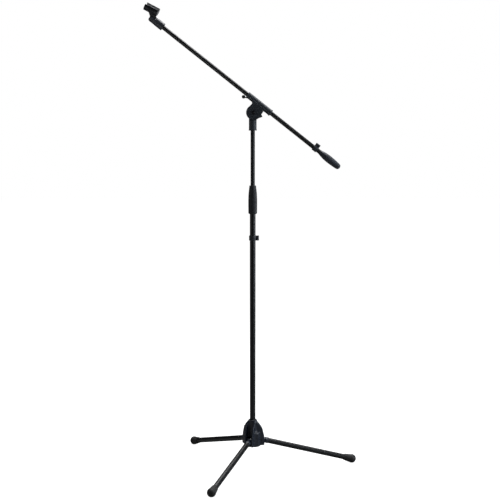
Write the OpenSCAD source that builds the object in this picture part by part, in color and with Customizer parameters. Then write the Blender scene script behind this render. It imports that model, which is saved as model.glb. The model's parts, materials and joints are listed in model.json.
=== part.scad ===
// Boom microphone stand: folding tripod, telescopic mast, tilting boom and microphone clip.
// Millimetres, +Z up, origin on the floor under the mast's axis, boom in the XZ plane.

/* [Tripod] */
// Distance from the mast's axis to the centre of each foot
leg_reach = 363; // [340:1:380]
// Direction of the first leg, measured from +X
leg_azimuth = 7.9; // [0:0.1:20]
// Height where the leg centre lines meet the mast's axis
leg_meet_z = 107; // [106:1:110]
// Outer diameter of a leg tube
leg_d = 19; // [18:0.5:19]
// Diameter of a ball foot
foot_d = 31; // [29:0.5:33]
// Height of the centre of a ball foot, which is flattened where it rests
foot_z = 13.5; // [13:0.1:14.5]

/* [Mast] */
// Outer diameter of the lower tube
lower_d = 20; // [20:1:20]
// Top of the lower tube
lower_top = 985; // [900:1:1000]
// Outer diameter of the upper tube
upper_d = 15; // [14:0.5:15]
// Lower end of the upper tube, inside the lower tube
upper_bottom = 330; // [300:1:500]
// Height of the middle of the mast's cable clip
mast_clip_z = 823; // [700:1:860]

/* [Boom joint] */
// Height of the tilt pivot
pivot_z = 1260; // [1258:1:1264]
// Sideways place of the tilt pivot
pivot_x = 3; // [0:0.5:5]
// Angle of the boom above the horizontal
boom_angle = 38.3; // [30:0.1:45]
// Distance from the pivot to the boom's axis
boom_offset = 35.5; // [34:0.5:38]
// Radius of the saddle's ears
ear_r = 26; // [25:0.5:26]

/* [Boom] */
// Outer diameter of the boom tube
boom_d = 15; // [15:1:15]
// Front end of the boom tube, measured from the pivot along the boom
boom_front = 444; // [400:1:480]
// Rear end of the boom tube, measured the same way
boom_rear = -340; // [-380:1:-330]
// Middle of the boom's cable clip
boom_clip_s = -245.5; // [-250:0.5:-235]

/* [Microphone clip] */
// Turn of the clip about the boom's axis
clip_roll = 30; // [0:1:45]
// Droop of the holder against the boom's axis
clip_tilt = 12.4; // [0:0.1:20]
// Inner radius of the holder
holder_r = 12; // [11:0.5:13]
// Length of the holder
holder_l = 50; // [45:1:55]

/* [Hidden] */
$fn = 72;

// tripod
leg_wall = 1.4;
leg_step = 120;
hinge_r = 27;
hinge_z = leg_meet_z - hinge_r * (leg_meet_z - foot_z) / leg_reach;
leg_slope = atan2(hinge_z - foot_z, leg_reach - hinge_r);
foot_x = norm([leg_reach - hinge_r, hinge_z - foot_z]);
pin_r = 3;
knuckle_r = 9.6;
heel_half = 8.7;
neck_r = 9.2;
socket_r = 10.5;
tube_start = 14;
socket_start = 17;
socket_end = 30;
tube_end = foot_x - 8;
sleeve_start = foot_x - 29;

// hub
hub_bottom = 80;
hub_top = 172;
drum_r = 29;
rib_place = 27;
rib_r = 4.2;
rib_top = 122;
slot_half = 10.8;
cheek_half = 16;
slot_floor = 15.8;
tube_foot = 88;
cover_t = 3;
cover_r = 28;
centre_screw_r = 4;

// mast
lower_r = lower_d / 2;
lower_bore = 8.5;
upper_r = upper_d / 2;
upper_bore = upper_r - 1.2;
upper_top = 1230;
bush_r = lower_bore - 0.05;
bush_top = upper_bottom + 30;
running = 0.05;

// clutch, measured from the top of the lower tube
core_r = 12.6;
core_bottom = lower_top - 73;
core_top = lower_top + 20;
base_r = 11.4;
base_bottom = lower_top - 60;
base_top = lower_top + 5;
collet_top = lower_top + 15;
mouth_r = upper_r + 0.5;

// boom joint
collar_r = 13.3;
collar_bottom = 1198;
collar_top = 1240;
collar_shoulder = pivot_z - ear_r - 0.8;
disc_r = 17.5;
disc_half = 5.3;
washer_t = 1;
ear_in = disc_half + washer_t;
ear_out = 12;
bolt_r = 4;
sleeve_r = 10.8;
sleeve_front = 55;
sleeve_rear = -49;
liner_r = 8.55;
web_top = boom_offset - 3;
web_rear = [-24.3, boom_offset - 11.3];
web_lean = 8.8;
clamp_s = 43;
clamp_p = boom_offset - 4.5;
clamp_turn = 27.2;
lug_r = 6;
lug_out = -17;
clamp_r = 3;
clamp_tip = -8.6;
handle_y = -30;
handle_half = 20.6;
ball_r = 6.4;
lever_in = -13;
lever_out = -22.5;

// boom and clip
boom_r = boom_d / 2;
boom_bore = 6.3;
stud_r = 4.7;
stud_front = boom_front + 14;
base_rear = boom_front - 19;
clip_pivot = boom_front + 27;
clip_base_r = 13.4;
tongue_half = 6;
holder_wall = 2.2;
holder_rise = 31.5;
holder_back = -11;
mouth_half = 8.5;

// place for what belongs to the leg at angle a: origin at its hinge, x outwards along the leg
module on_leg(a)
    rotate([0, 0, a]) translate([hinge_r, 0, hinge_z]) rotate([0, leg_slope, 0]) children();

// place for what tilts: origin at the pivot, x along the boom to the microphone, z away from the
// mast, y towards the front
module at_pivot()
    translate([pivot_x, 0, pivot_z]) rotate([0, boom_angle, 0]) rotate([0, 0, 180]) children();

// place on the boom's axis, with x along it
module on_boom()
    at_pivot() translate([0, 0, boom_offset]) children();

// place at the clip's screw, turned about the boom with the clip
module at_clip()
    on_boom() rotate([-clip_roll, 0, 0]) translate([clip_pivot, 0, 0]) children();

// round bar along x, and round bar along y
module rod_x(x0, x1, r)
    translate([x0, 0, 0]) rotate([0, 90, 0]) cylinder(h = x1 - x0, r = r);
module rod_y(y0, y1, r)
    translate([0, y0, 0]) rotate([-90, 0, 0]) cylinder(h = y1 - y0, r = r);
module cone_x(x0, x1, r0, r1)
    translate([x0, 0, 0]) rotate([0, 90, 0]) cylinder(h = x1 - x0, r1 = r0, r2 = r1);
module ring(z0, z1, r_out, r_in)
    translate([0, 0, z0]) difference() {
        cylinder(h = z1 - z0, r = r_out);
        translate([0, 0, -1]) cylinder(h = z1 - z0 + 2, r = r_in);
    }
// solid of revolution about x from points [x, radius]
module turned_x(points)
    rotate([0, 90, 0]) rotate_extrude() polygon([for (p = points) [p[1], p[0]]]);
// flat plate in the xz plane between two y values
module plate_y(y0, y1)
    translate([0, y1, 0]) rotate([90, 0, 0]) linear_extrude(y1 - y0) children();

// bell outline of the cheeks, as [radius, z]
bell = [[0, hub_bottom], [42, hub_bottom], [43, hub_bottom + 2], [42.8, 104], [41.4, 117],
        [38.2, 131], [35.4, 142], [33.4, 146], [28.4, 153], [22.6, 161], [17, 168],
        [13.6, hub_top], [0, hub_top]];
// drum between the cheeks with the slimmer column above it
column = [[0, hub_bottom], [drum_r - 1, hub_bottom], [drum_r, hub_bottom + 2], [drum_r, 127],
          [drum_r - 2, 129], [21, 131], [19, 152], [13.6, hub_top], [0, hub_top]];

module hub_housing() {
    color("#1b1d21")
    difference() {
        union() {
            rotate_extrude() polygon(column);
            for (i = [0 : 2])
                rotate([0, 0, leg_azimuth + (i + 0.5) * leg_step])
                    translate([rib_place, 0, hub_bottom]) {
                        cylinder(h = rib_top - hub_bottom, r = rib_r);
                        translate([0, 0, rib_top - hub_bottom]) sphere(r = rib_r);
                    }
            for (i = [0 : 2])
                intersection() {
                    rotate_extrude() polygon(bell);
                    rotate([0, 0, leg_azimuth + i * leg_step])
                        translate([0, -cheek_half, hub_bottom])
                        cube([60, 2 * cheek_half, hub_top - hub_bottom]);
                }
        }
        translate([0, 0, tube_foot]) cylinder(h = 100, r = lower_r);
        translate([0, 0, hub_bottom - 1]) cylinder(h = 20, r = centre_screw_r + 0.2);
        for (i = [0 : 2])
            rotate([0, 0, leg_azimuth + i * leg_step]) {
                translate([slot_floor, -slot_half, hub_bottom - 1]) cube([60, 2 * slot_half, 120]);
                translate([hinge_r, 0, hinge_z]) rod_y(-cheek_half - 1, cheek_half + 1, pin_r);
                rotate([0, 0, leg_step / 2]) translate([20, 0, hub_bottom - 1])
                    cylinder(h = 30, r = 5);
            }
    }
}

module hub_cover() {
    color("#232529")
    ring(hub_bottom - cover_t, hub_bottom, cover_r, centre_screw_r + 0.2);
}

module centre_screw() {
    color("silver")
    translate([0, 0, hub_bottom - cover_t]) {
        translate([0, 0, -4.5]) cylinder(h = 4.5, r = 7, $fn = 6);
        cylinder(h = 34, r = centre_screw_r);
    }
}

module tube_plug() {
    color("goldenrod")
    ring(tube_foot + 1, tube_foot + 25, lower_bore, centre_screw_r);
}

module leg_pins() {
    color("silver")
    for (i = [0 : 2])
        rotate([0, 0, leg_azimuth + i * leg_step]) translate([hinge_r, 0, hinge_z])
            rod_y(-cheek_half + 0.2, cheek_half - 0.2, pin_r);
}

module lower_tube() {
    color("#14161a")
    ring(tube_foot, lower_top, lower_r, lower_bore);
}

module clutch_base() {
    color("#2a2c30")
    difference() {
        translate([0, 0, base_bottom]) cylinder(h = base_top - base_bottom, r = base_r);
        translate([0, 0, base_bottom - 1]) cylinder(h = lower_top - base_bottom + 1, r = lower_r);
        translate([0, 0, lower_top - 1]) cylinder(h = base_top - lower_top + 2, r = lower_bore);
    }
}

// snap ring round a tube with an open cable hook on its +x side
module cable_clip(tube_r) {
    clip_h = 17;
    hook_r = 5.5;
    cable_r = 3.6;
    hook_x = tube_r + 1.6 + hook_r;
    translate([0, 0, -clip_h / 2])
    difference() {
        union() {
            cylinder(h = clip_h, r = tube_r + 2.8);
            translate([hook_x, 0, 0]) cylinder(h = clip_h, r = hook_r);
            translate([tube_r, -3.5, 0]) cube([4, 7, clip_h]);
        }
        translate([0, 0, -1]) cylinder(h = clip_h + 2, r = tube_r);
        translate([hook_x, 0, -1]) cylinder(h = clip_h + 2, r = cable_r);
        translate([hook_x, -2.4, -1]) cube([hook_r + 1, 4.8, clip_h + 2]);
    }
}

module mast_cable_clip() {
    color("#26282e")
    translate([0, 0, mast_clip_z]) cable_clip(lower_r);
}

module knuckle(a) {
    color("#2b2d31")
    on_leg(a)
    difference() {
        union() {
            rod_y(-knuckle_r, knuckle_r, knuckle_r);
            rod_x(0, socket_start, neck_r);
            rod_x(socket_start, socket_end, socket_r);
            rotate([0, -leg_slope, 0])
                translate([slot_floor + 0.2 - hinge_r, -heel_half, -heel_half])
                cube([hinge_r - slot_floor - 0.2, 2 * heel_half, heel_half + 2]);
        }
        rod_y(-knuckle_r - 1, knuckle_r + 1, pin_r + running);
        rod_x(tube_start, socket_end + 1, leg_d / 2 - leg_wall);
        rod_x(socket_start + 0.5, socket_end + 1, leg_d / 2);
    }
}

module leg_tube(a) {
    color("#14161a")
    on_leg(a)
    difference() {
        rod_x(socket_start + 0.5, tube_end, leg_d / 2);
        rod_x(socket_start, tube_end + 1, leg_d / 2 - leg_wall);
    }
}

module foot(a) {
    color("#0e0f11")
    difference() {
        on_leg(a)
        difference() {
            union() {
                cone_x(sleeve_start, foot_x - 4, leg_d / 2 + 2, foot_d / 2 - 1);
                translate([foot_x, 0, 0]) rotate([0, 90, 0]) sphere(r = foot_d / 2);
            }
            rod_x(sleeve_start - 1, tube_end, leg_d / 2);
        }
        translate([-500, -500, -50]) cube([1000, 1000, 50]);
    }
}

module knuckle_right() knuckle(leg_azimuth);
module knuckle_back() knuckle(leg_azimuth + leg_step);
module knuckle_front() knuckle(leg_azimuth + 2 * leg_step);
module leg_tube_right() leg_tube(leg_azimuth);
module leg_tube_back() leg_tube(leg_azimuth + leg_step);
module leg_tube_front() leg_tube(leg_azimuth + 2 * leg_step);
module foot_right() foot(leg_azimuth);
module foot_back() foot(leg_azimuth + leg_step);
module foot_front() foot(leg_azimuth + 2 * leg_step);

module collet() {
    color("#3a3c40")
    translate([0, 0, base_top + running])
    difference() {
        cylinder(h = collet_top - base_top - running, r1 = 9.8, r2 = 8.5);
        translate([0, 0, -1]) cylinder(h = 30, r = upper_r + running);
    }
}

module clutch_core() {
    color("#202226")
    difference() {
        union() {
            translate([0, 0, core_bottom]) cylinder(h = base_top - 2 - core_bottom, r = core_r);
            translate([0, 0, base_top - 2])
                cylinder(h = core_top - base_top + 2, r1 = core_r, r2 = 10.2);
        }
        translate([0, 0, core_bottom - 1]) cylinder(h = 100, r = mouth_r);
        translate([0, 0, core_bottom - 1])
            cylinder(h = base_bottom - core_bottom, r = lower_r + 0.3);
        translate([0, 0, base_bottom - 1])
            cylinder(h = base_top + 1.1 - base_bottom, r = base_r + running);
        translate([0, 0, base_top]) cylinder(h = collet_top + 1 - base_top, r1 = 10.1, r2 = 8.7);
    }
}

// outline of the rubber sleeve, as [radius, height above the lower tube's top]
rubber = [[10.6, -77], [13.4, -77], [15.2, -74], [15.5, -50], [15.5, -30], [15.1, -16], [14.3, -3],
          [13.5, 4], [12.6, 11], [12, 18], [11.4, 22], [8.6, 22], [8.6, 20], [10.2, 20],
          [core_r, 3], [core_r, -73], [10.6, -73]];

module clutch_rubber() {
    color("#121316")
    translate([0, 0, lower_top]) rotate_extrude() polygon(rubber);
}

module upper_tube() {
    color("#14161a")
    ring(upper_bottom, upper_top, upper_r, upper_bore);
}

module slide_bush() {
    color("#e8e6dc")
    difference() {
        translate([0, 0, upper_bottom - 3]) cylinder(h = bush_top - upper_bottom + 3, r = bush_r);
        translate([0, 0, upper_bottom]) cylinder(h = 40, r = upper_r);
    }
}

module joint_stem() {
    neck_half_x = 10;
    color("#202329")
    difference() {
        union() {
            translate([0, 0, collar_bottom]) cylinder(h = 3, r = collar_r + 0.7);
            translate([0, 0, collar_bottom + 2])
                cylinder(h = collar_shoulder - collar_bottom - 2, r = collar_r);
            intersection() {
                translate([0, 0, collar_shoulder - 1])
                    cylinder(h = collar_top - collar_shoulder + 1, r = collar_r);
                translate([-collar_r, -disc_half, collar_shoulder - 1])
                    cube([2 * collar_r, 2 * disc_half, 30]);
            }
            translate([-neck_half_x, -disc_half, collar_top - 2])
                cube([2 * neck_half_x, 2 * disc_half, pivot_z - collar_top]);
            translate([pivot_x, 0, pivot_z]) rod_y(-disc_half, disc_half, disc_r);
        }
        translate([0, 0, collar_bottom - 1]) cylinder(h = upper_top - collar_bottom + 1, r = upper_r);
        translate([0, 0, collar_bottom - 1]) cylinder(h = 4, r = upper_r + 2.5);
        translate([pivot_x, 0, pivot_z]) rod_y(-disc_half - 1, disc_half + 1, bolt_r + running);
        translate([0, 0, collar_bottom + 18]) rod_y(0, collar_r + 1, 2.5);
    }
}

module stem_screw() {
    color("#3c3e42")
    translate([0, 0, collar_bottom + 18]) rod_y(upper_r + 0.1, collar_r - 0.6, 2.5);
}

module friction_washers() {
    color("#8c8c84")
    translate([pivot_x, 0, pivot_z])
    for (y = [-ear_in + 0.03, disc_half])
        difference() {
            rod_y(y, y + washer_t - 0.03, 16);
            rod_y(y - 1, y + washer_t + 1, bolt_r + running);
        }
}

// ear outline: round boss, and a web up to the sleeve that leaves the boss on tangents and is
// filleted to the sleeve at the front
module ear_outline() {
    tangent = atan2(web_rear[1], web_rear[0]) + acos(ear_r / norm(web_rear));
    circle(r = ear_r);
    polygon([[0, 0], ear_r * [cos(web_lean), -sin(web_lean)], [ear_r - 2.4, web_top - 12],
             [ear_r - 1.2, web_top - 9.6], [ear_r + 3, web_top - 7.2], [ear_r + 3, web_top],
             [web_rear[0], web_top],
             web_rear, ear_r * [cos(tangent), sin(tangent)]]);
}

module saddle_casting() {
    color("#23262d")
    at_pivot()
    difference() {
        union() {
            plate_y(ear_in, ear_out) ear_outline();
            plate_y(-ear_out, -ear_in) ear_outline();
            translate([0, 0, boom_offset]) rod_x(sleeve_rear, sleeve_front, sleeve_r);
            translate([0, 0, boom_offset]) rod_x(sleeve_rear, sleeve_rear + 6, sleeve_r + 0.8);
            translate([clamp_s, 0, clamp_p]) rod_y(lug_out, 0, lug_r);
        }
        translate([0, 0, boom_offset])
            rod_x(sleeve_rear - 1, sleeve_front + 1, liner_r + running);
        rod_y(-20, 20, bolt_r);
        translate([clamp_s, 0, clamp_p]) rod_y(lug_out - 1, 0, clamp_r + running);
    }
}

module pivot_bolt() {
    color("#4a4c50")
    at_pivot() {
        rod_y(lever_out + 1, ear_out, bolt_r);
        rod_y(ear_out, ear_out + 3.2, 6.6);
    }
}

module pivot_lever() {
    color("#0f1012")
    at_pivot()
    difference() {
        union() {
            rod_y(lever_out, lever_in, 10);
            plate_y(lever_out + 1.5, lever_in - 0.8)
                polygon([[0, 10], [-21.7, 14], [-33.7, 7.3], [-31.7, 4.5], [-22.7, -9.5], [-6, -9.5]]);
        }
        rod_y(lever_out - 1, lever_in + 1, 6.5);
    }
}

module lever_insert() {
    color("goldenrod")
    at_pivot()
    difference() {
        rod_y(lever_out, lever_in, 6.5);
        rod_y(lever_out - 1, lever_in + 1, bolt_r + running);
    }
}

module clamp_screw() {
    color("silver")
    at_pivot() translate([clamp_s, 0, clamp_p]) rod_y(handle_y + 1, clamp_tip, clamp_r);
}

module clamp_handle() {
    color("#101113")
    at_pivot() translate([clamp_s, 0, clamp_p]) rotate([0, clamp_turn, 0])
    difference() {
        union() {
            rod_y(handle_y - 5, lug_out - 4, 5.5);
            translate([0, handle_y, 0]) rod_x(-handle_half, handle_half, 3.2);
        }
        rod_y(handle_y + 1, 0, clamp_r);
        for (side = [-1, 1])
            translate([side * handle_half, handle_y, 0]) sphere(r = ball_r);
    }
}

module handle_balls() {
    color("#08090a")
    at_pivot() translate([clamp_s, handle_y, clamp_p]) rotate([0, clamp_turn, 0])
    for (side = [-1, 1])
        translate([side * handle_half, 0, 0]) sphere(r = ball_r);
}

module boom_liner() {
    color("#3a3b3e")
    on_boom()
    difference() {
        rod_x(sleeve_rear + 1, sleeve_front - 1, liner_r);
        rod_x(sleeve_rear, sleeve_front, boom_r + running);
    }
}

module boom_tube() {
    color("#14161a")
    on_boom()
    difference() {
        rod_x(boom_rear, boom_front, boom_r);
        rod_x(boom_rear - 1, boom_front + 1, boom_bore);
    }
}

module boom_cable_clip() {
    color("#26282e")
    on_boom() translate([boom_clip_s, 0, 0]) rotate([0, -90, 0]) cable_clip(boom_r);
}

// outline of the end grip, as [distance ahead of the boom's rear end, radius]
grip = [[73, boom_r], [73, 8.2], [69, 8.9], [59, 11], [46, 12.5], [33, 12.9], [19, 12.3],
        [6, 11.6], [-4.5, 10.6], [-10, 9], [-13, 6], [-14.5, 0], [0, 0], [0, boom_r]];

module end_grip() {
    color("#121316")
    on_boom() translate([boom_rear, 0, 0]) turned_x(grip);
}

module counterweight_slug() {
    color("dimgray")
    on_boom() rod_x(boom_rear + 1, boom_rear + 61, boom_bore);
}

module thread_stud() {
    color("silver")
    on_boom() {
        rod_x(boom_front - 40, boom_front, boom_bore);
        rod_x(boom_front, stud_front, stud_r);
    }
}

module clip_base() {
    color("#1f2227")
    on_boom() rotate([-clip_roll, 0, 0])
    difference() {
        union() {
            rod_x(base_rear, base_rear + 28, clip_base_r);
            cone_x(base_rear + 28, clip_pivot - 8, clip_base_r, clip_base_r - 1.5);
            intersection() {
                union() {
                    translate([clip_pivot - 16, -12, -10.2]) cube([16, 24, 20.4]);
                    translate([clip_pivot, 0, 0]) rod_y(-12, 12, 10.4);
                }
                rod_x(clip_pivot - 20, clip_pivot + 12, clip_base_r - 0.2);
            }
        }
        rod_x(base_rear - 1, boom_front + 1, boom_r + 0.3);
        rod_x(boom_front, clip_pivot - 10, 8.5);
        translate([clip_pivot - 10.5, -tongue_half - 0.2, -20]) cube([40, 2 * tongue_half + 0.4, 40]);
        translate([clip_pivot, 0, 0]) rod_y(-20, 20, 2.5);
    }
}

module brass_insert() {
    color("goldenrod")
    on_boom()
    difference() {
        rod_x(boom_front + 1, clip_pivot - 11, 8.5);
        rod_x(boom_front, stud_front + 1, stud_r + running);
    }
}

module clip_screw() {
    color("#5a5c60")
    at_clip() {
        rod_y(-15, 12, 2.5);
        rod_y(12, 14, 4.5);
    }
}

module clip_nut() {
    color("#5a5c60")
    at_clip()
    difference() {
        rod_y(-15, -12, 4.5);
        rod_y(-16, -11, 2.5);
    }
}

module clip_holder() {
    outer = holder_r + holder_wall;
    color("#101214")
    at_clip() rotate([0, clip_tilt, 0])
    difference() {
        union() {
            rod_y(-tongue_half, tongue_half, 9.5);
            plate_y(-tongue_half, tongue_half)
                polygon([[-9.4, 0], [-8, 19], [20, 19.5], [11, 8], [9.4, 0]]);
            translate([0, 0, holder_rise]) rod_x(holder_back, holder_back + holder_l, outer);
        }
        translate([0, 0, holder_rise])
            rod_x(holder_back - 1, holder_back + holder_l + 1, holder_r);
        translate([holder_back - 1, -mouth_half, holder_rise])
            cube([holder_l + 2, 2 * mouth_half, outer + 1]);
        rod_y(-20, 20, 2.5 + running);
    }
}

hub_housing();
hub_cover();
centre_screw();
tube_plug();
leg_pins();
lower_tube();
clutch_base();
mast_cable_clip();
knuckle_right();
knuckle_back();
knuckle_front();
leg_tube_right();
leg_tube_back();
leg_tube_front();
foot_right();
foot_back();
foot_front();
collet();
clutch_core();
clutch_rubber();
upper_tube();
slide_bush();
joint_stem();
stem_screw();
friction_washers();
saddle_casting();
pivot_bolt();
pivot_lever();
lever_insert();
clamp_screw();
clamp_handle();
handle_balls();
boom_liner();
boom_tube();
boom_cable_clip();
end_grip();
counterweight_slug();
thread_stud();
clip_base();
brass_insert();
clip_screw();
clip_nut();
clip_holder();
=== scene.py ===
"""Looks of the boom microphone stand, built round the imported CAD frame."""

import json
import math

import bmesh
import bpy
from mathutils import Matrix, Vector


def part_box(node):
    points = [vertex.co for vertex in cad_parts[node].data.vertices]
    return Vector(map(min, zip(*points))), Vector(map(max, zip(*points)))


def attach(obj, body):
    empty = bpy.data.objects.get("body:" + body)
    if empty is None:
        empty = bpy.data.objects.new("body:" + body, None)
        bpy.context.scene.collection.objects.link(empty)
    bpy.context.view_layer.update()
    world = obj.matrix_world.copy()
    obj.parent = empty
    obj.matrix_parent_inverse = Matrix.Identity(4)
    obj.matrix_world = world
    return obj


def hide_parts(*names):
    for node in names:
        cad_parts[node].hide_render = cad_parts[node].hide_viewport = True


MM = 0.001

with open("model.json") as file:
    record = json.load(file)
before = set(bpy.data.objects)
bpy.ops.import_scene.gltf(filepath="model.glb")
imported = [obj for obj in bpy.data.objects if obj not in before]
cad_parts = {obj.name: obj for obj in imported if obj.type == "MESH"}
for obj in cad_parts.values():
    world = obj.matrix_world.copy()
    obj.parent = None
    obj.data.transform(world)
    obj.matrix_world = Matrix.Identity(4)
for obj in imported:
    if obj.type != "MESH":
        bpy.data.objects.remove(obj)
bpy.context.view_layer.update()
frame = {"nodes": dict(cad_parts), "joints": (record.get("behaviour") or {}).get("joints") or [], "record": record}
scene = bpy.context.scene
joints = {j["name"]: j for j in frame["joints"]}
record = frame["record"]


# camera -------------------------------------------------------------------------------------

CAMERA_PLACE = Vector((-0.0095, -4.015, 1.233))
CAMERA_DIP = math.radians(6.43)
CAMERA_LENS = 82.8
CAMERA_SENSOR = 36.0


def make_camera():
    """The camera that a perspective fit of the feet, legs and mast gave."""
    data = bpy.data.cameras.new("camera")
    data.lens = CAMERA_LENS
    data.sensor_width = CAMERA_SENSOR
    data.clip_start = 0.1
    data.clip_end = 60.0
    camera = bpy.data.objects.new("camera", data)
    camera.location = CAMERA_PLACE
    camera.rotation_euler = (math.pi / 2 - CAMERA_DIP, 0.0, 0.0)
    scene.collection.objects.link(camera)
    scene.camera = camera


# materials ----------------------------------------------------------------------------------

NOISE_ROUGHNESS = 0.55
EDGE_SAMPLES = 4
EDGE_TURN = (0.75, 0.98)     # cosines between the face and the rounded normal: an edge, a flat
SCUFF_GAIN = 4.0             # a scuffed edge is this much brighter than the plastic, plus the lift
SCUFF_LIFT = 0.012
MOULD_GRAIN = 1300.0
MACHINING = 700.0
BORE_MARGIN_MM = 0.15        # the painted reflection on the holder's inside reaches this far past the holder's radius
BORE_FADE = 0.0009


class Nodes:
    """A material's node tree with short calls for the nodes used here."""

    def __init__(self, name):
        self.material = bpy.data.materials.new(name)
        self.material.use_nodes = True
        self.tree = self.material.node_tree
        self.shader = self.tree.nodes["Principled BSDF"]
        self.place = self.tree.nodes.new("ShaderNodeTexCoord").outputs["Object"]

    def link(self, source, target):
        self.tree.links.new(source, target)

    def noise(self, scale, detail=3.0, stretch=None):
        node = self.tree.nodes.new("ShaderNodeTexNoise")
        node.inputs["Scale"].default_value = scale
        node.inputs["Detail"].default_value = detail
        node.inputs["Roughness"].default_value = NOISE_ROUGHNESS
        source = self.place
        if stretch:
            mapping = self.tree.nodes.new("ShaderNodeMapping")
            mapping.inputs["Scale"].default_value = stretch
            self.link(self.place, mapping.inputs["Vector"])
            source = mapping.outputs["Vector"]
        self.link(source, node.inputs["Vector"])
        return node.outputs["Fac"]

    def cells(self, scale):
        node = self.tree.nodes.new("ShaderNodeTexVoronoi")
        node.inputs["Scale"].default_value = scale
        self.link(self.place, node.inputs["Vector"])
        return node.outputs["Distance"]

    def span(self, value, low, high, start=0.3, end=0.7):
        """value from start..end mapped to low..high."""
        node = self.tree.nodes.new("ShaderNodeMapRange")
        node.inputs["From Min"].default_value = start
        node.inputs["From Max"].default_value = end
        node.inputs["To Min"].default_value = low
        node.inputs["To Max"].default_value = high
        self.link(value, node.inputs["Value"])
        return node.outputs["Result"]

    def mix(self, factor, a, b):
        """Colour mix; a and b are colours or sockets, and 6, 7 and 2 the node's colour sockets."""
        node = self.tree.nodes.new("ShaderNodeMix")
        node.data_type = "RGBA"
        self.link(factor, node.inputs["Factor"])
        for socket, value in ((node.inputs[6], a), (node.inputs[7], b)):
            if isinstance(value, tuple):
                socket.default_value = (*value, 1.0)
            else:
                self.link(value, socket)
        return node.outputs[2]

    def edges(self, radius):
        """1 on edges sharper than the radius, 0 on flats."""
        bevel = self.tree.nodes.new("ShaderNodeBevel")
        bevel.samples = EDGE_SAMPLES
        bevel.inputs["Radius"].default_value = radius
        flat = self.tree.nodes.new("ShaderNodeNewGeometry")
        dot = self.tree.nodes.new("ShaderNodeVectorMath")
        dot.operation = "DOT_PRODUCT"
        self.link(bevel.outputs["Normal"], dot.inputs[0])
        self.link(flat.outputs["Normal"], dot.inputs[1])
        return self.span(dot.outputs["Value"], 1.0, 0.0, *EDGE_TURN)

    def off_axis(self, place, axis):
        """Distance from a line, in metres."""
        source = self.place
        # the cross product with a unit axis is as long as the distance from the line
        for operation, value in (("SUBTRACT", place), ("CROSS_PRODUCT", axis)):
            node = self.tree.nodes.new("ShaderNodeVectorMath")
            node.operation = operation
            self.link(source, node.inputs[0])
            node.inputs[1].default_value = value
            source = node.outputs["Vector"]
        length = self.tree.nodes.new("ShaderNodeVectorMath")
        length.operation = "LENGTH"
        self.link(source, length.inputs[0])
        return length.outputs["Value"]

    def product(self, a, b):
        node = self.tree.nodes.new("ShaderNodeMath")
        node.operation = "MULTIPLY"
        self.link(a, node.inputs[0])
        self.link(b, node.inputs[1])
        return node.outputs[0]

    def bump(self, height, distance, strength, under=None):
        """A normal bent by a height map, on top of the bump under it."""
        node = self.tree.nodes.new("ShaderNodeBump")
        node.inputs["Strength"].default_value = strength
        node.inputs["Distance"].default_value = distance
        self.link(height, node.inputs["Height"])
        if under:
            self.link(under, node.inputs["Normal"])
        return node.outputs["Normal"]

    def finish(self, colour, roughness, normal, metallic=0.0, specular=0.5, **more):
        """Everything joined to the shader; more sets its other inputs by name."""
        inputs = self.shader.inputs
        self.link(colour, inputs["Base Color"])
        self.link(roughness, inputs["Roughness"])
        self.link(normal, inputs["Normal"])
        inputs["Metallic"].default_value = metallic
        inputs["Specular IOR Level"].default_value = specular
        for name, value in more.items():
            inputs[name.replace("_", " ")].default_value = value
        return self.material


def powder_coat():
    """Satin black coat on tube: orange peel, faint patches, thin wear on the rims."""
    n = Nodes("black_coat")
    tone = n.mix(n.span(n.noise(14.0), 0.0, 1.0), (0.0035, 0.0042, 0.005), (0.006, 0.0068, 0.008))
    wear = n.product(n.edges(0.0006), n.span(n.noise(420.0), 0.0, 0.6))
    colour = n.mix(wear, tone, (0.06, 0.06, 0.065))
    roughness = n.span(n.noise(60.0, 5.0), 0.30, 0.42)
    peel = n.bump(n.noise(950.0, 2.0), 0.00006, 0.35)
    normal = n.bump(n.noise(240.0, 1.0), 0.00008, 0.2, peel)
    return n.finish(colour, roughness, normal, specular=0.42, Coat_Weight=0.12,
                    Coat_Roughness=0.25)


def cast_coat():
    """Black coat over a die casting: fine grain, a bluish sheen, worn edges."""
    n = Nodes("casting")
    tone = n.mix(n.span(n.noise(35.0), 0.0, 1.0), (0.022, 0.0275, 0.035), (0.034, 0.041, 0.051))
    wear = n.product(n.edges(0.0009), n.span(n.noise(300.0, 6.0), 0.0, 0.5, 0.42, 0.66))
    colour = n.mix(wear, tone, (0.09, 0.09, 0.10))
    roughness = n.span(n.noise(180.0, 5.0), 0.36, 0.52)
    grain = n.bump(n.cells(1500.0), 0.00012, 0.45)
    normal = n.bump(n.noise(420.0, 4.0), 0.00016, 0.35, grain)
    return n.finish(colour, roughness, normal, specular=0.5)


def moulded(name, dark, light, low, high, depth=0.00008, specular=0.4, painted_bore_reflection=None):
    """Injection moulded plastic: spark-eroded grain, slight flow marks, paler scuffed edges.

    The last argument, (place, axis, radius, colour), paints a round inside pale grey in streaks along its length:
    a painted reflection of the bright room.
    """
    n = Nodes(name)
    flow = n.noise(22.0, 2.0, stretch=(1.0, 1.0, 0.35))
    tone = n.mix(n.span(flow, 0.0, 1.0), dark, light)
    scuff = n.product(n.edges(0.0007), n.span(n.noise(520.0, 5.0), 0.0, 0.7, 0.4, 0.7))
    colour = n.mix(scuff, tone, tuple(SCUFF_GAIN * c + SCUFF_LIFT for c in light))
    if painted_bore_reflection:
        place, axis, radius, reflection_colour = painted_bore_reflection
        # painted reflection: the inside within the radius is painted pale in streaks, standing in for the bright
        # room it mirrors
        inside = n.span(n.off_axis(place, axis), 1.0, 0.0, radius, radius + BORE_FADE)
        streaks = n.noise(140.0, 5.0, stretch=(0.25, 1.0, 1.0))
        painted_reflection = n.product(inside, n.span(streaks, 0.6, 1.0))
        colour = n.mix(painted_reflection, colour, reflection_colour)
    roughness = n.span(n.noise(90.0, 6.0), low, high)
    normal = n.bump(n.noise(MOULD_GRAIN, 4.0), depth, 0.5)
    return n.finish(colour, roughness, normal, specular=specular)


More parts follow.
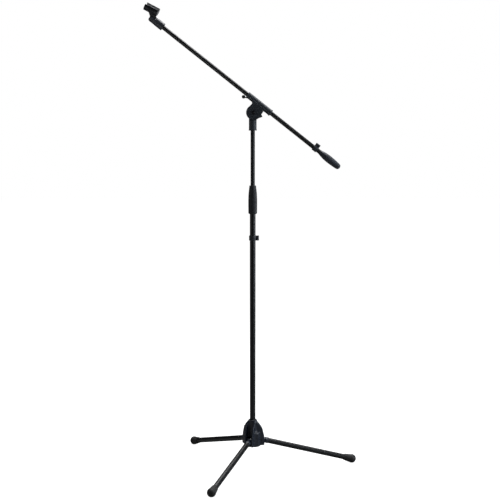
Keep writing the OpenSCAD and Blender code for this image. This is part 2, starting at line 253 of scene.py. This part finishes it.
def rubber(name, tone, dust, low, high):
    """Black rubber: matt, pebbled, with dust that gathers in its grain."""
    n = Nodes(name)
    pebble = n.cells(1100.0)
    dusty = n.product(n.span(n.noise(45.0, 6.0), 0.0, 0.5), n.span(pebble, 0.2, 1.0, 0.1, 0.6))
    colour = n.mix(dusty, tone, dust)
    roughness = n.span(n.noise(130.0, 4.0), low, high)
    normal = n.bump(pebble, 0.00012, 0.4)
    return n.finish(colour, roughness, normal, specular=0.4, Sheen_Weight=0.15,
                    Sheen_Roughness=0.45)


def metal(name, dark, light, low, high):
    """Turned or plated metal with fine machining lines and dull patches."""
    n = Nodes(name)
    lines = n.noise(MACHINING)
    patches = n.noise(160.0, 5.0)
    colour = n.mix(n.span(patches, 0.0, 1.0), dark, light)
    roughness = n.span(patches, low, high)
    normal = n.bump(lines, 0.00003, 0.5)
    return n.finish(colour, roughness, normal, metallic=1.0)


def make_materials():
    """One material for each slot of the record."""
    holder = next(m for m in record["mounts"] if m["name"] == "microphone_holder")
    # the holder's inside gets pale grey paint: a painted reflection of the bright room
    painted_bore_reflection = (holder["pos_m"], holder["axis"], (holder["dims"]["r_mm"] + BORE_MARGIN_MM) * MM,
            (0.42, 0.42, 0.43))
    return {
        "black_coat": powder_coat(),
        "casting": cast_coat(),
        "hub_plastic": moulded("hub_plastic", (0.008, 0.013, 0.025), (0.013, 0.020, 0.037),
                               0.26, 0.4, specular=0.7),
        "grip_rubber": rubber("grip_rubber", (0.012, 0.013, 0.016), (0.038, 0.041, 0.05),
                              0.4, 0.58),
        # end_rubber is the grip rubber painted lighter and bluer, its dust too: a lit copy, painted light for the
        # end grip whose top faces the lamps
        "end_rubber": rubber("end_rubber", (0.026, 0.030, 0.040), (0.07, 0.078, 0.098),
                             0.38, 0.55),
        "foot_rubber": rubber("foot_rubber", (0.007, 0.007, 0.008), (0.035, 0.034, 0.032),
                              0.5, 0.68),
        "clip_plastic": moulded("clip_plastic", (0.024, 0.027, 0.034), (0.038, 0.042, 0.052),
                                0.32, 0.48),
        "holder_plastic": moulded("holder_plastic", (0.006, 0.007, 0.009), (0.011, 0.012, 0.014),
                                  0.22, 0.36, depth=0.00004, specular=0.5, painted_bore_reflection=painted_bore_reflection),
        "knob_plastic": moulded("knob_plastic", (0.006, 0.006, 0.007), (0.010, 0.010, 0.011),
                                0.3, 0.44),
        "inner_plastic": moulded("inner_plastic", (0.045, 0.045, 0.05), (0.07, 0.07, 0.075),
                                 0.4, 0.55),
        "steel": metal("steel", (0.42, 0.42, 0.44), (0.60, 0.60, 0.61), 0.22, 0.4),
        "dark_steel": metal("dark_steel", (0.035, 0.035, 0.04), (0.075, 0.075, 0.08), 0.3, 0.48),
        "brass": metal("brass", (0.55, 0.38, 0.14), (0.72, 0.53, 0.24), 0.2, 0.38),
    }


def dress_frame():
    """Every CAD node takes the material of its slot."""
    for part in record["subparts"]:
        mesh = frame["nodes"][part["node"]].data
        mesh.materials.clear()
        mesh.materials.append(materials[part["material_slot"]])


# pieces -------------------------------------------------------------------------------------

# all lengths in metres
WELD = 2e-6
FLAT_ANGLE = math.radians(0.6)
HARD_ANGLE = math.radians(28.0)
BEVEL_WIDTH = 0.0006
BEVEL_SEGMENTS = 3
SMOOTH_ANGLE = math.radians(32.0)
GRIP_SMOOTH_ANGLE = math.radians(40.0)

OUTLINE_STEP = 0.0006
EASE_PASSES = 2
CORNER_STEP = 0.0001         # vertices this close along the axis are one corner of the outline
RADIUS_SLACK = 1e-6
DISTANCE_SLACK = 1e-7
DIMPLE_DEPTH = 0.00035
DIMPLE_REACH = 0.36          # a dimple's radius as a share of its cell

# CAD node, piece, voxel size, smoothing passes
MOULDED_SHAPES = (
    ("hub_housing", "hub_shell", 0.0009, 8),
    ("saddle_casting", "saddle_body", 0.0007, 5),
    ("joint_stem", "stem_body", 0.0006, 3),
    ("clip_base", "clip_base_body", 0.0005, 5),
    ("clip_holder", "clip_holder_body", 0.00045, 7),
)

# CAD node, piece
ROUNDED_SHAPES = (
    ("knuckle_right", "knuckle_body_right"),
    ("knuckle_back", "knuckle_body_back"),
    ("knuckle_front", "knuckle_body_front"),
    ("mast_cable_clip", "mast_clip_body"),
    ("boom_cable_clip", "boom_clip_body"),
    ("hub_cover", "hub_cover_plate"),
    ("pivot_bolt", "pivot_bolt_head"),
)


def body_of(node):
    return next(body for body, nodes in record["behaviour"]["bodies"].items() if node in nodes)


def slot_of(node):
    return next(p["material_slot"] for p in record["subparts"] if p["node"] == node)


def add_piece(name, mesh, node):
    """A new piece that stands for a CAD node, on its body and in its finish."""
    piece = bpy.data.objects.new(name, mesh)
    scene.collection.objects.link(piece)
    mesh.materials.clear()
    mesh.materials.append(materials[slot_of(node)])
    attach(piece, body_of(node))
    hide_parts(node)


def smooth_mesh(mesh, angle):
    """Smooth shading, kept sharp at edges that turn by more than the angle."""
    mesh.polygons.foreach_set("use_smooth", [True] * len(mesh.polygons))
    mesh.set_sharp_from_angle(angle=angle)
    mesh.update()


def rounded(node, name):
    """A CAD node's shape with its hard edges bevelled."""
    bm = bmesh.new()
    bm.from_mesh(frame["nodes"][node].data)
    bmesh.ops.remove_doubles(bm, verts=bm.verts, dist=WELD)
    bmesh.ops.dissolve_limit(bm, angle_limit=FLAT_ANGLE, verts=bm.verts, edges=bm.edges)
    edges = [e for e in bm.edges if len(e.link_faces) == 2 and e.calc_face_angle() > HARD_ANGLE]
    bmesh.ops.bevel(bm, geom=edges, offset=BEVEL_WIDTH, offset_type="OFFSET",
                    segments=BEVEL_SEGMENTS, profile=0.5, affect="EDGES", clamp_overlap=False)
    mesh = bpy.data.meshes.new(name)
    bm.to_mesh(mesh)
    bm.free()
    smooth_mesh(mesh, SMOOTH_ANGLE)
    add_piece(name, mesh, node)


def moulded_shape(node, name, voxel, passes):
    """A CAD node's shape as an even mesh, smoothed so that its edges and corners turn softly."""
    copy = bpy.data.objects.new(name + "_source", frame["nodes"][node].data.copy())
    scene.collection.objects.link(copy)
    remesh = copy.modifiers.new("remesh", "REMESH")
    remesh.mode = "VOXEL"
    remesh.voxel_size = voxel
    relax = copy.modifiers.new("relax", "SMOOTH")
    relax.factor = 0.5
    relax.iterations = passes
    bpy.context.view_layer.update()
    graph = bpy.context.evaluated_depsgraph_get()
    mesh = bpy.data.meshes.new_from_object(copy.evaluated_get(graph))
    source = copy.data
    bpy.data.objects.remove(copy)
    bpy.data.meshes.remove(source)
    mesh.name = name
    # the smoothing must not push anything past the CAD node's box
    low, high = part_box(node)
    for vertex in mesh.vertices:
        for axis in range(3):
            vertex.co[axis] = min(max(vertex.co[axis], low[axis]), high[axis])
    mesh.polygons.foreach_set("use_smooth", [True] * len(mesh.polygons))
    mesh.update()
    add_piece(name, mesh, node)


def outline_of(node, origin, axis):
    """Largest radius of a CAD node at even steps along an axis, as [(distance, radius)]."""
    points = []
    for vertex in frame["nodes"][node].data.vertices:
        away = vertex.co - origin
        t = away.dot(axis)
        points.append((t, (away - t * axis).length))
    start, end = min(t for t, _ in points), max(t for t, _ in points)
    # the outline's corners: the widest vertex at each distance that has vertices
    rings = {}
    for t, radius in points:
        key = round(t / CORNER_STEP)
        rings[key] = max(rings.get(key, 0.0), radius)
    corners = sorted((key * CORNER_STEP, radius) for key, radius in rings.items())
    corners[0] = (start, corners[0][1])
    corners[-1] = (end, corners[-1][1])
    # a grip swells once, so a corner lower than some corner on either side is inside it
    hull = []
    for i, (t, radius) in enumerate(corners):
        left = max((r for u, r in corners[:i]), default=0.0)
        right = max((r for u, r in corners[i + 1:]), default=0.0)
        if radius >= min(left, right) - RADIUS_SLACK:
            hull.append((t, radius))
    outline = []
    count = max(2, round((end - start) / OUTLINE_STEP))
    for k in range(count + 1):
        t = start + (end - start) * k / count
        below = [c for c in hull if c[0] <= t + DISTANCE_SLACK][-1]
        above = [c for c in hull if c[0] >= t - DISTANCE_SLACK][0]
        gap = above[0] - below[0]
        share = 0.0 if gap < DISTANCE_SLACK else (t - below[0]) / gap
        outline.append((t, below[1] + share * (above[1] - below[1])))
    return outline


def revolve(name, outline, origin, axis, around, depth):
    """A closed surface of revolution; depth(angle, distance) sinks the surface, in metres."""
    side = axis.orthogonal().normalized()
    up = axis.cross(side)
    bm = bmesh.new()
    rings = []
    for t, radius in outline:
        ring = []
        for k in range(around):
            angle = 2 * math.pi * k / around
            r = radius - depth(angle, t)
            ring.append(bm.verts.new(origin + t * axis
                                     + r * (math.cos(angle) * side + math.sin(angle) * up)))
        rings.append(ring)
    for a, b in zip(rings, rings[1:]):
        for k in range(around):
            bm.faces.new((a[k], a[(k + 1) % around], b[(k + 1) % around], b[k]))
    bm.faces.new(list(reversed(rings[0])))
    bm.faces.new(rings[-1])
    bmesh.ops.recalc_face_normals(bm, faces=bm.faces)
    mesh = bpy.data.meshes.new(name)
    bm.to_mesh(mesh)
    bm.free()
    smooth_mesh(mesh, GRIP_SMOOTH_ANGLE)
    return mesh


def eased(outline):
    """The outline with its corners rounded off, its ends kept."""
    radii = [r for _, r in outline]
    for _ in range(EASE_PASSES):
        inner = [0.25 * a + 0.5 * b + 0.25 * c for a, b, c in zip(radii, radii[1:], radii[2:])]
        radii = [radii[0], *inner, radii[-1]]
    return [(t, r) for (t, _), r in zip(outline, radii)]


def dimples(start, end, columns, pitch):
    """Staggered rows of shallow round dimples between two distances along a grip."""
    def depth(angle, t):
        if t < start or t > end:
            return 0.0
        row = math.floor((t - start) / pitch)
        across = (angle * columns / (2 * math.pi) + 0.5 * (row % 2)) % 1.0 - 0.5
        along = (t - start) / pitch - row - 0.5
        away = math.hypot(across, along) / DIMPLE_REACH
        return DIMPLE_DEPTH * max(0.0, 1.0 - away * away)
    return depth


def make_pieces():
    """The grips, the moulded and cast parts, and the small parts with eased edges."""
    mast = Vector((0.0, 0.0, 1.0))
    boom = Vector(joints["boom_slide"]["axis"]).normalized()
    boom_place = Vector(joints["boom_roll"]["pos_m"])
    # CAD node, piece, origin, axis, vertices around, plain ends, dimples around, dimple pitch
    for node, name, origin, axis, around, plain, columns, pitch in (
            ("clutch_rubber", "clutch_grip", Vector(), mast, 144, (0.006, 0.012), 24, 0.0042),
            ("end_grip", "boom_end_grip", boom_place, boom, 132, (0.012, 0.012), 22, 0.004)):
        outline = eased(outline_of(node, origin, axis))
        depth = dimples(outline[0][0] + plain[0], outline[-1][0] - plain[1], columns, pitch)
        add_piece(name, revolve(name, outline, origin, axis, around, depth), node)
    for shape in MOULDED_SHAPES:
        moulded_shape(*shape)
    for shape in ROUNDED_SHAPES:
        rounded(*shape)


# stage --------------------------------------------------------------------------------------

FLOOR_HALF = 14.0
WHITE = (1.0, 1.0, 1.0, 1.0)
PAPER = (0.35, 0.35, 0.35, 1.0)
DIM_PAPER = (0.22, 0.22, 0.22, 1.0)
WORLD_SEEN = 1.0
WORLD_LIT = 0.03
STAND_MIDDLE = (0.0, 0.0, 0.85)
COOL = (0.86, 0.93, 1.0)


def area_light(name, place, aim, size, power, colour=(1.0, 1.0, 1.0), spread=180.0):
    """A rectangular lamp that faces a point; power in watts, spread in degrees."""
    data = bpy.data.lights.new(name, "AREA")
    data.shape = "RECTANGLE"
    data.size, data.size_y = size
    data.energy = power
    data.color = colour
    data.spread = math.radians(spread)
    light = bpy.data.objects.new(name, data)
    light.location = place
    light.rotation_euler = (Vector(aim) - Vector(place)).to_track_quat("-Z", "Y").to_euler()
    scene.collection.objects.link(light)


def backdrop_mix(nodes, links, seen, lit):
    """One shader for the camera and a dimmer one for everything the object mirrors."""
    path = nodes.new("ShaderNodeLightPath")
    mix = nodes.new("ShaderNodeMixShader")
    links.new(path.outputs["Is Camera Ray"], mix.inputs[0])
    links.new(lit, mix.inputs[1])
    links.new(seen, mix.inputs[2])
    return mix.outputs[0]


def make_floor():
    """White paper for the camera, a dim floor for lamps and reflections."""
    mesh = bpy.data.meshes.new("floor")
    signs = ((-1, -1), (1, -1), (1, 1), (-1, 1))
    corners = [(x * FLOOR_HALF, y * FLOOR_HALF, 0) for x, y in signs]
    mesh.from_pydata(corners, [], [(0, 1, 2, 3)])
    floor = bpy.data.objects.new("floor", mesh)
    scene.collection.objects.link(floor)
    material = bpy.data.materials.new("floor_paper")
    material.use_nodes = True
    nodes, links = material.node_tree.nodes, material.node_tree.links
    seen = nodes["Principled BSDF"]
    seen.inputs["Base Color"].default_value = PAPER
    seen.inputs["Roughness"].default_value = 1.0
    seen.inputs["Specular IOR Level"].default_value = 0.0
    seen.inputs["Emission Color"].default_value = WHITE
    seen.inputs["Emission Strength"].default_value = 1.0
    lit = nodes.new("ShaderNodeBsdfDiffuse")
    lit.inputs["Color"].default_value = DIM_PAPER
    surface = backdrop_mix(nodes, links, seen.outputs[0], lit.outputs[0])
    links.new(surface, nodes["Material Output"].inputs["Surface"])
    mesh.materials.append(material)


def make_world():
    """White for the camera, nearly dark for everything else."""
    world = bpy.data.worlds.new("studio")
    world.use_nodes = True
    nodes, links = world.node_tree.nodes, world.node_tree.links
    nodes.clear()
    output = nodes.new("ShaderNodeOutputWorld")
    seen = nodes.new("ShaderNodeBackground")
    lit = nodes.new("ShaderNodeBackground")
    for background, strength in ((seen, WORLD_SEEN), (lit, WORLD_LIT)):
        background.inputs["Color"].default_value = WHITE
        background.inputs["Strength"].default_value = strength
    surface = backdrop_mix(nodes, links, seen.outputs[0], lit.outputs[0])
    links.new(surface, output.inputs["Surface"])
    scene.world = world


def make_stage():
    """Floor, world and lamps."""
    make_floor()
    make_world()
    scene.view_settings.view_transform = "Standard"
    area_light("top_light", (0.3, 0.9, 3.3), STAND_MIDDLE, (2.6, 1.4), 110.0)
    area_light("side_light", (2.9, -0.3, 1.4), STAND_MIDDLE, (0.8, 2.6), 44.0, COOL)
    area_light("front_light", (2.3, -3.3, 2.4), (0.0, 0.0, 1.1), (0.7, 1.8), 10.0, COOL)
    area_light("strip_light", (2.9, -2.9, 1.1), (0.0, 0.0, 0.6), (0.5, 2.0), 14.0, COOL)
    area_light("fill_light", (-3.0, -1.6, 1.3), STAND_MIDDLE, (0.8, 2.0), 8.0)
    area_light("low_light", (-0.9, -1.8, 0.2), (-0.45, 0.0, 1.62), (0.8, 0.6), 0.6, spread=34.0)


make_camera()
materials = make_materials()
dress_frame()
make_pieces()
make_stage()
